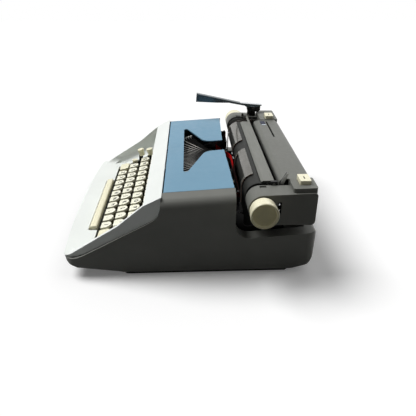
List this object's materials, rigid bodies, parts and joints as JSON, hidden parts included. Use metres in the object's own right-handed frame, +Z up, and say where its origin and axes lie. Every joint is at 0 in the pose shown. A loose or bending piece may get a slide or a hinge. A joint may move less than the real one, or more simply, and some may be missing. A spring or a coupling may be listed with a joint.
{
  "type": "portable typewriter",
  "caption": "Portable manual typewriter with a sloped keyboard, hinged ribbon cover, type basket and sliding carriage with platen, paper table and return lever.",
  "frame": {"origin": "middle of the underside of the machine's bounding box, on the table", "axes": "+X to the typist's right, +Y to the rear, +Z up"},
  "size_m": [0.369, 0.3171, 0.1506],
  "materials": {
    "shell_grey": "fine grain, satin",
    "surround_white": "satin paint",
    "pan_black": "matt paint",
    "foot_rubber": "matt",
    "frame_steel": "black enamel",
    "segment_steel": "ground",
    "typebar_steel": "plated",
    "cover_blue": "satin paint",
    "spool_black": "moulded",
    "ribbon_cloth": "inked weave, red and black halves",
    "bright_steel": "plated",
    "clear_plastic": "clear moulded plastic",
    "carriage_grey": "satin",
    "table_grey": "satin paint",
    "platen_rubber": "smooth",
    "knob_cream": "moulded",
    "bail_grey": "satin",
    "lever_chrome": "bright plate",
    "release_black": "moulded",
    "button_cream": "moulded",
    "key_cream": "moulded, printed legends"
  },
  "bodies": {
    "machine": {"body_shell": "shell_grey", "keyboard_surround": "surround_white", "base_pan": "pan_black", "rubber_feet": "foot_rubber", "main_frame": "frame_steel", "ribbon": "ribbon_cloth", "card_holders": "clear_plastic"},
    "key_z": {"key_z": "key_cream"},
    "key_x": {"key_x": "key_cream"},
    "key_c": {"key_c": "key_cream"},
    "key_v": {"key_v": "key_cream"},
    "key_b": {"key_b": "key_cream"},
    "key_n": {"key_n": "key_cream"},
    "key_m": {"key_m": "key_cream"},
    "key_comma": {"key_comma": "key_cream"},
    "key_period": {"key_period": "key_cream"},
    "key_slash": {"key_slash": "key_cream"},
    "key_a": {"key_a": "key_cream"},
    "key_s": {"key_s": "key_cream"},
    "key_d": {"key_d": "key_cream"},
    "key_f": {"key_f": "key_cream"},
    "key_g": {"key_g": "key_cream"},
    "key_h": {"key_h": "key_cream"},
    "key_j": {"key_j": "key_cream"},
    "key_k": {"key_k": "key_cream"},
    "key_l": {"key_l": "key_cream"},
    "key_semicolon": {"key_semicolon": "key_cream"},
    "key_quote": {"key_quote": "key_cream"},
    "key_q": {"key_q": "key_cream"},
    "key_w": {"key_w": "key_cream"},
    "key_e": {"key_e": "key_cream"},
    "key_r": {"key_r": "key_cream"},
    "key_t": {"key_t": "key_cream"},
    "key_y": {"key_y": "key_cream"},
    "key_u": {"key_u": "key_cream"},
    "key_i": {"key_i": "key_cream"},
    "key_o": {"key_o": "key_cream"},
    "key_p": {"key_p": "key_cream"},
    "key_half": {"key_half": "key_cream"},
    "number_keys": {"number_keys": "key_cream"},
    "space_bar": {"space_bar": "key_cream"},
    "shift_keys": {"shift_keys": "key_cream"},
    "tab_key": {"tab_key": "key_cream"},
    "margin_release_key": {"margin_release_key": "key_cream"},
    "type_basket": {"type_segment": "segment_steel", "typebars": "typebar_steel"},
    "ribbon_cover": {"ribbon_cover": "cover_blue"},
    "spool_left": {"ribbon_spool_left": "spool_black"},
    "spool_right": {"ribbon_spool_right": "spool_black"},
    "ribbon_vibrator": {"ribbon_vibrator": "bright_steel"},
    "carriage": {"carriage_frame": "frame_steel", "carriage_end_covers": "carriage_grey", "paper_table": "table_grey"},
    "platen": {"platen": "platen_rubber", "platen_knobs": "knob_cream"},
    "paper_bail": {"paper_bail": "bail_grey"},
    "return_lever": {"return_lever": "lever_chrome"},
    "paper_release_lever": {"paper_release_lever": "release_black"},
    "margin_button_left": {"margin_button_left": "button_cream"},
    "margin_button_right": {"margin_button_right": "button_cream"}
  },
  "joints": [
    {"name": "key_z_press", "type": "hinge", "parent": "machine", "child": "key_z", "pos_m": [0, 0.064, 0.026], "axis": [1, 0, 0], "range_deg": [0, 3.5], "stiffness_Nm_per_rad": 0.6, "springref_deg": -6.88},
    {"name": "key_x_press", "type": "hinge", "parent": "machine", "child": "key_x", "pos_m": [0, 0.064, 0.026], "axis": [1, 0, 0], "range_deg": [0, 3.5], "stiffness_Nm_per_rad": 0.6, "springref_deg": -6.88},
    {"name": "key_c_press", "type": "hinge", "parent": "machine", "child": "key_c", "pos_m": [0, 0.064, 0.026], "axis": [1, 0, 0], "range_deg": [0, 3.5], "stiffness_Nm_per_rad": 0.6, "springref_deg": -6.88},
    {"name": "key_v_press", "type": "hinge", "parent": "machine", "child": "key_v", "pos_m": [0, 0.064, 0.026], "axis": [1, 0, 0], "range_deg": [0, 3.5], "stiffness_Nm_per_rad": 0.6, "springref_deg": -6.88},
    {"name": "key_b_press", "type": "hinge", "parent": "machine", "child": "key_b", "pos_m": [0, 0.064, 0.026], "axis": [1, 0, 0], "range_deg": [0, 3.5], "stiffness_Nm_per_rad": 0.6, "springref_deg": -6.88},
    {"name": "key_n_press", "type": "hinge", "parent": "machine", "child": "key_n", "pos_m": [0, 0.064, 0.026], "axis": [1, 0, 0], "range_deg": [0, 3.5], "stiffness_Nm_per_rad": 0.6, "springref_deg": -6.88},
    {"name": "key_m_press", "type": "hinge", "parent": "machine", "child": "key_m", "pos_m": [0, 0.064, 0.026], "axis": [1, 0, 0], "range_deg": [0, 3.5], "stiffness_Nm_per_rad": 0.6, "springref_deg": -6.88},
    {"name": "key_comma_press", "type": "hinge", "parent": "machine", "child": "key_comma", "pos_m": [0, 0.064, 0.026], "axis": [1, 0, 0], "range_deg": [0, 3.5], "stiffness_Nm_per_rad": 0.6, "springref_deg": -6.88},
    {"name": "key_period_press", "type": "hinge", "parent": "machine", "child": "key_period", "pos_m": [0, 0.064, 0.026], "axis": [1, 0, 0], "range_deg": [0, 3.5], "stiffness_Nm_per_rad": 0.6, "springref_deg": -6.88},
    {"name": "key_slash_press", "type": "hinge", "parent": "machine", "child": "key_slash", "pos_m": [0, 0.064, 0.026], "axis": [1, 0, 0], "range_deg": [0, 3.5], "stiffness_Nm_per_rad": 0.6, "springref_deg": -6.88},
    {"name": "key_a_press", "type": "hinge", "parent": "machine", "child": "key_a", "pos_m": [0, 0.064, 0.026], "axis": [1, 0, 0], "range_deg": [0, 3.5], "stiffness_Nm_per_rad": 0.6, "springref_deg": -6.88},
    {"name": "key_s_press", "type": "hinge", "parent": "machine", "child": "key_s", "pos_m": [0, 0.064, 0.026], "axis": [1, 0, 0], "range_deg": [0, 3.5], "stiffness_Nm_per_rad": 0.6, "springref_deg": -6.88},
    {"name": "key_d_press", "type": "hinge", "parent": "machine", "child": "key_d", "pos_m": [0, 0.064, 0.026], "axis": [1, 0, 0], "range_deg": [0, 3.5], "stiffness_Nm_per_rad": 0.6, "springref_deg": -6.88},
    {"name": "key_f_press", "type": "hinge", "parent": "machine", "child": "key_f", "pos_m": [0, 0.064, 0.026], "axis": [1, 0, 0], "range_deg": [0, 3.5], "stiffness_Nm_per_rad": 0.6, "springref_deg": -6.88},
    {"name": "key_g_press", "type": "hinge", "parent": "machine", "child": "key_g", "pos_m": [0, 0.064, 0.026], "axis": [1, 0, 0], "range_deg": [0, 3.5], "stiffness_Nm_per_rad": 0.6, "springref_deg": -6.88},
    {"name": "key_h_press", "type": "hinge", "parent": "machine", "child": "key_h", "pos_m": [0, 0.064, 0.026], "axis": [1, 0, 0], "range_deg": [0, 3.5], "stiffness_Nm_per_rad": 0.6, "springref_deg": -6.88},
    {"name": "key_j_press", "type": "hinge", "parent": "machine", "child": "key_j", "pos_m": [0, 0.064, 0.026], "axis": [1, 0, 0], "range_deg": [0, 3.5], "stiffness_Nm_per_rad": 0.6, "springref_deg": -6.88},
    {"name": "key_k_press", "type": "hinge", "parent": "machine", "child": "key_k", "pos_m": [0, 0.064, 0.026], "axis": [1, 0, 0], "range_deg": [0, 3.5], "stiffness_Nm_per_rad": 0.6, "springref_deg": -6.88},
    {"name": "key_l_press", "type": "hinge", "parent": "machine", "child": "key_l", "pos_m": [0, 0.064, 0.026], "axis": [1, 0, 0], "range_deg": [0, 3.5], "stiffness_Nm_per_rad": 0.6, "springref_deg": -6.88},
    {"name": "key_semicolon_press", "type": "hinge", "parent": "machine", "child": "key_semicolon", "pos_m": [0, 0.064, 0.026], "axis": [1, 0, 0], "range_deg": [0, 3.5], "stiffness_Nm_per_rad": 0.6, "springref_deg": -6.88},
    {"name": "key_quote_press", "type": "hinge", "parent": "machine", "child": "key_quote", "pos_m": [0, 0.064, 0.026], "axis": [1, 0, 0], "range_deg": [0, 3.5], "stiffness_Nm_per_rad": 0.6, "springref_deg": -6.88},
    {"name": "key_q_press", "type": "hinge", "parent": "machine", "child": "key_q", "pos_m": [0, 0.064, 0.026], "axis": [1, 0, 0], "range_deg": [0, 3.5], "stiffness_Nm_per_rad": 0.6, "springref_deg": -6.88},
    {"name": "key_w_press", "type": "hinge", "parent": "machine", "child": "key_w", "pos_m": [0, 0.064, 0.026], "axis": [1, 0, 0], "range_deg": [0, 3.5], "stiffness_Nm_per_rad": 0.6, "springref_deg": -6.88},
    {"name": "key_e_press", "type": "hinge", "parent": "machine", "child": "key_e", "pos_m": [0, 0.064, 0.026], "axis": [1, 0, 0], "range_deg": [0, 3.5], "stiffness_Nm_per_rad": 0.6, "springref_deg": -6.88},
    {"name": "key_r_press", "type": "hinge", "parent": "machine", "child": "key_r", "pos_m": [0, 0.064, 0.026], "axis": [1, 0, 0], "range_deg": [0, 3.5], "stiffness_Nm_per_rad": 0.6, "springref_deg": -6.88},
    {"name": "key_t_press", "type": "hinge", "parent": "machine", "child": "key_t", "pos_m": [0, 0.064, 0.026], "axis": [1, 0, 0], "range_deg": [0, 3.5], "stiffness_Nm_per_rad": 0.6, "springref_deg": -6.88},
    {"name": "key_y_press", "type": "hinge", "parent": "machine", "child": "key_y", "pos_m": [0, 0.064, 0.026], "axis": [1, 0, 0], "range_deg": [0, 3.5], "stiffness_Nm_per_rad": 0.6, "springref_deg": -6.88},
    {"name": "key_u_press", "type": "hinge", "parent": "machine", "child": "key_u", "pos_m": [0, 0.064, 0.026], "axis": [1, 0, 0], "range_deg": [0, 3.5], "stiffness_Nm_per_rad": 0.6, "springref_deg": -6.88},
    {"name": "key_i_press", "type": "hinge", "parent": "machine", "child": "key_i", "pos_m": [0, 0.064, 0.026], "axis": [1, 0, 0], "range_deg": [0, 3.5], "stiffness_Nm_per_rad": 0.6, "springref_deg": -6.88},
    {"name": "key_o_press", "type": "hinge", "parent": "machine", "child": "key_o", "pos_m": [0, 0.064, 0.026], "axis": [1, 0, 0], "range_deg": [0, 3.5], "stiffness_Nm_per_rad": 0.6, "springref_deg": -6.88},
    {"name": "key_p_press", "type": "hinge", "parent": "machine", "child": "key_p", "pos_m": [0, 0.064, 0.026], "axis": [1, 0, 0], "range_deg": [0, 3.5], "stiffness_Nm_per_rad": 0.6, "springref_deg": -6.88},
    {"name": "key_half_press", "type": "hinge", "parent": "machine", "child": "key_half", "pos_m": [0, 0.064, 0.026], "axis": [1, 0, 0], "range_deg": [0, 3.5], "stiffness_Nm_per_rad": 0.6, "springref_deg": -6.88},
    {"name": "number_keys_press", "type": "hinge", "parent": "machine", "child": "number_keys", "pos_m": [0, 0.064, 0.026], "axis": [1, 0, 0], "range_deg": [0, 3.5], "stiffness_Nm_per_rad": 6, "springref_deg": -6.88},
    {"name": "space_bar_press", "type": "hinge", "parent": "machine", "child": "space_bar", "pos_m": [0, 0.064, 0.026], "axis": [1, 0, 0], "range_deg": [0, 2.4], "stiffness_Nm_per_rad": 1.2, "springref_deg": -5.73},
    {"name": "shift_press", "type": "hinge", "parent": "machine", "child": "shift_keys", "pos_m": [0, 0.064, 0.026], "axis": [1, 0, 0], "range_deg": [0, 3.5], "stiffness_Nm_per_rad": 4, "springref_deg": -6.88},
    {"name": "tab_press", "type": "hinge", "parent": "machine", "child": "tab_key", "pos_m": [0, 0.064, 0.026], "axis": [1, 0, 0], "range_deg": [0, 3.5], "stiffness_Nm_per_rad": 0.6, "springref_deg": -6.88},
    {"name": "margin_release_press", "type": "hinge", "parent": "machine", "child": "margin_release_key", "pos_m": [0, 0.064, 0.026], "axis": [1, 0, 0], "range_deg": [0, 3.5], "stiffness_Nm_per_rad": 0.6, "springref_deg": -6.88},
    {"name": "basket_drop", "type": "slide", "parent": "machine", "child": "type_basket", "axis": [0, 0, -1], "range_m": [0, 0.006]},
    {"name": "cover_hinge", "type": "hinge", "parent": "machine", "child": "ribbon_cover", "pos_m": [0, -0.024, 0.10226], "axis": [1, 0, 0], "range_deg": [0, 75]},
    {"name": "spool_left_turn", "type": "hinge", "parent": "machine", "child": "spool_left", "pos_m": [-0.108, 0.022, 0.085], "axis": [0, 0, 1], "continuous": true},
    {"name": "spool_right_turn", "type": "hinge", "parent": "machine", "child": "spool_right", "pos_m": [0.108, 0.022, 0.085], "axis": [0, 0, 1], "continuous": true},
    {"name": "vibrator_lift", "type": "slide", "parent": "machine", "child": "ribbon_vibrator", "axis": [0, 0, 1], "range_m": [0, 0.007], "stiffness_N_per_m": 20, "springref_m": -0.006},
    {"name": "carriage_slide", "type": "slide", "parent": "machine", "child": "carriage", "axis": [1, 0, 0], "range_m": [-0.11, 0.11]},
    {"name": "platen_turn", "type": "hinge", "parent": "carriage", "child": "platen", "pos_m": [0, 0.087, 0.0955], "axis": [1, 0, 0], "continuous": true},
    {"name": "bail_lift", "type": "hinge", "parent": "carriage", "child": "paper_bail", "pos_m": [0, 0.1037, 0.1129], "axis": [-1, 0, 0], "range_deg": [0, 70]},
    {"name": "return_lever_swing", "type": "hinge", "parent": "carriage", "child": "return_lever", "pos_m": [-0.15, 0.113, 0.118], "axis": [0, 0, 1], "range_deg": [0, 35], "stiffness_Nm_per_rad": 0.3, "springref_deg": -17.19},
    {"name": "paper_release_swing", "type": "hinge", "parent": "carriage", "child": "paper_release_lever", "pos_m": [0.134, 0.1135, 0.0975], "axis": [1, 0, 0], "range_deg": [0, 15]},
    {"name": "margin_button_left_press", "type": "slide", "parent": "carriage", "child": "margin_button_left", "axis": [0, 0, -1], "range_m": [0, 0.0033], "stiffness_N_per_m": 200, "springref_m": -0.003},
    {"name": "margin_button_right_press", "type": "slide", "parent": "carriage", "child": "margin_button_right", "axis": [0, 0, -1], "range_m": [0, 0.0033], "stiffness_N_per_m": 200, "springref_m": -0.003}
  ],
  "couplings": [
    {"joint": "basket_drop", "follows": "shift_press", "m_per_rad": 0.09812},
    {"joint": "spool_right_turn", "follows": "spool_left_turn", "ratio": 1}
  ]
}
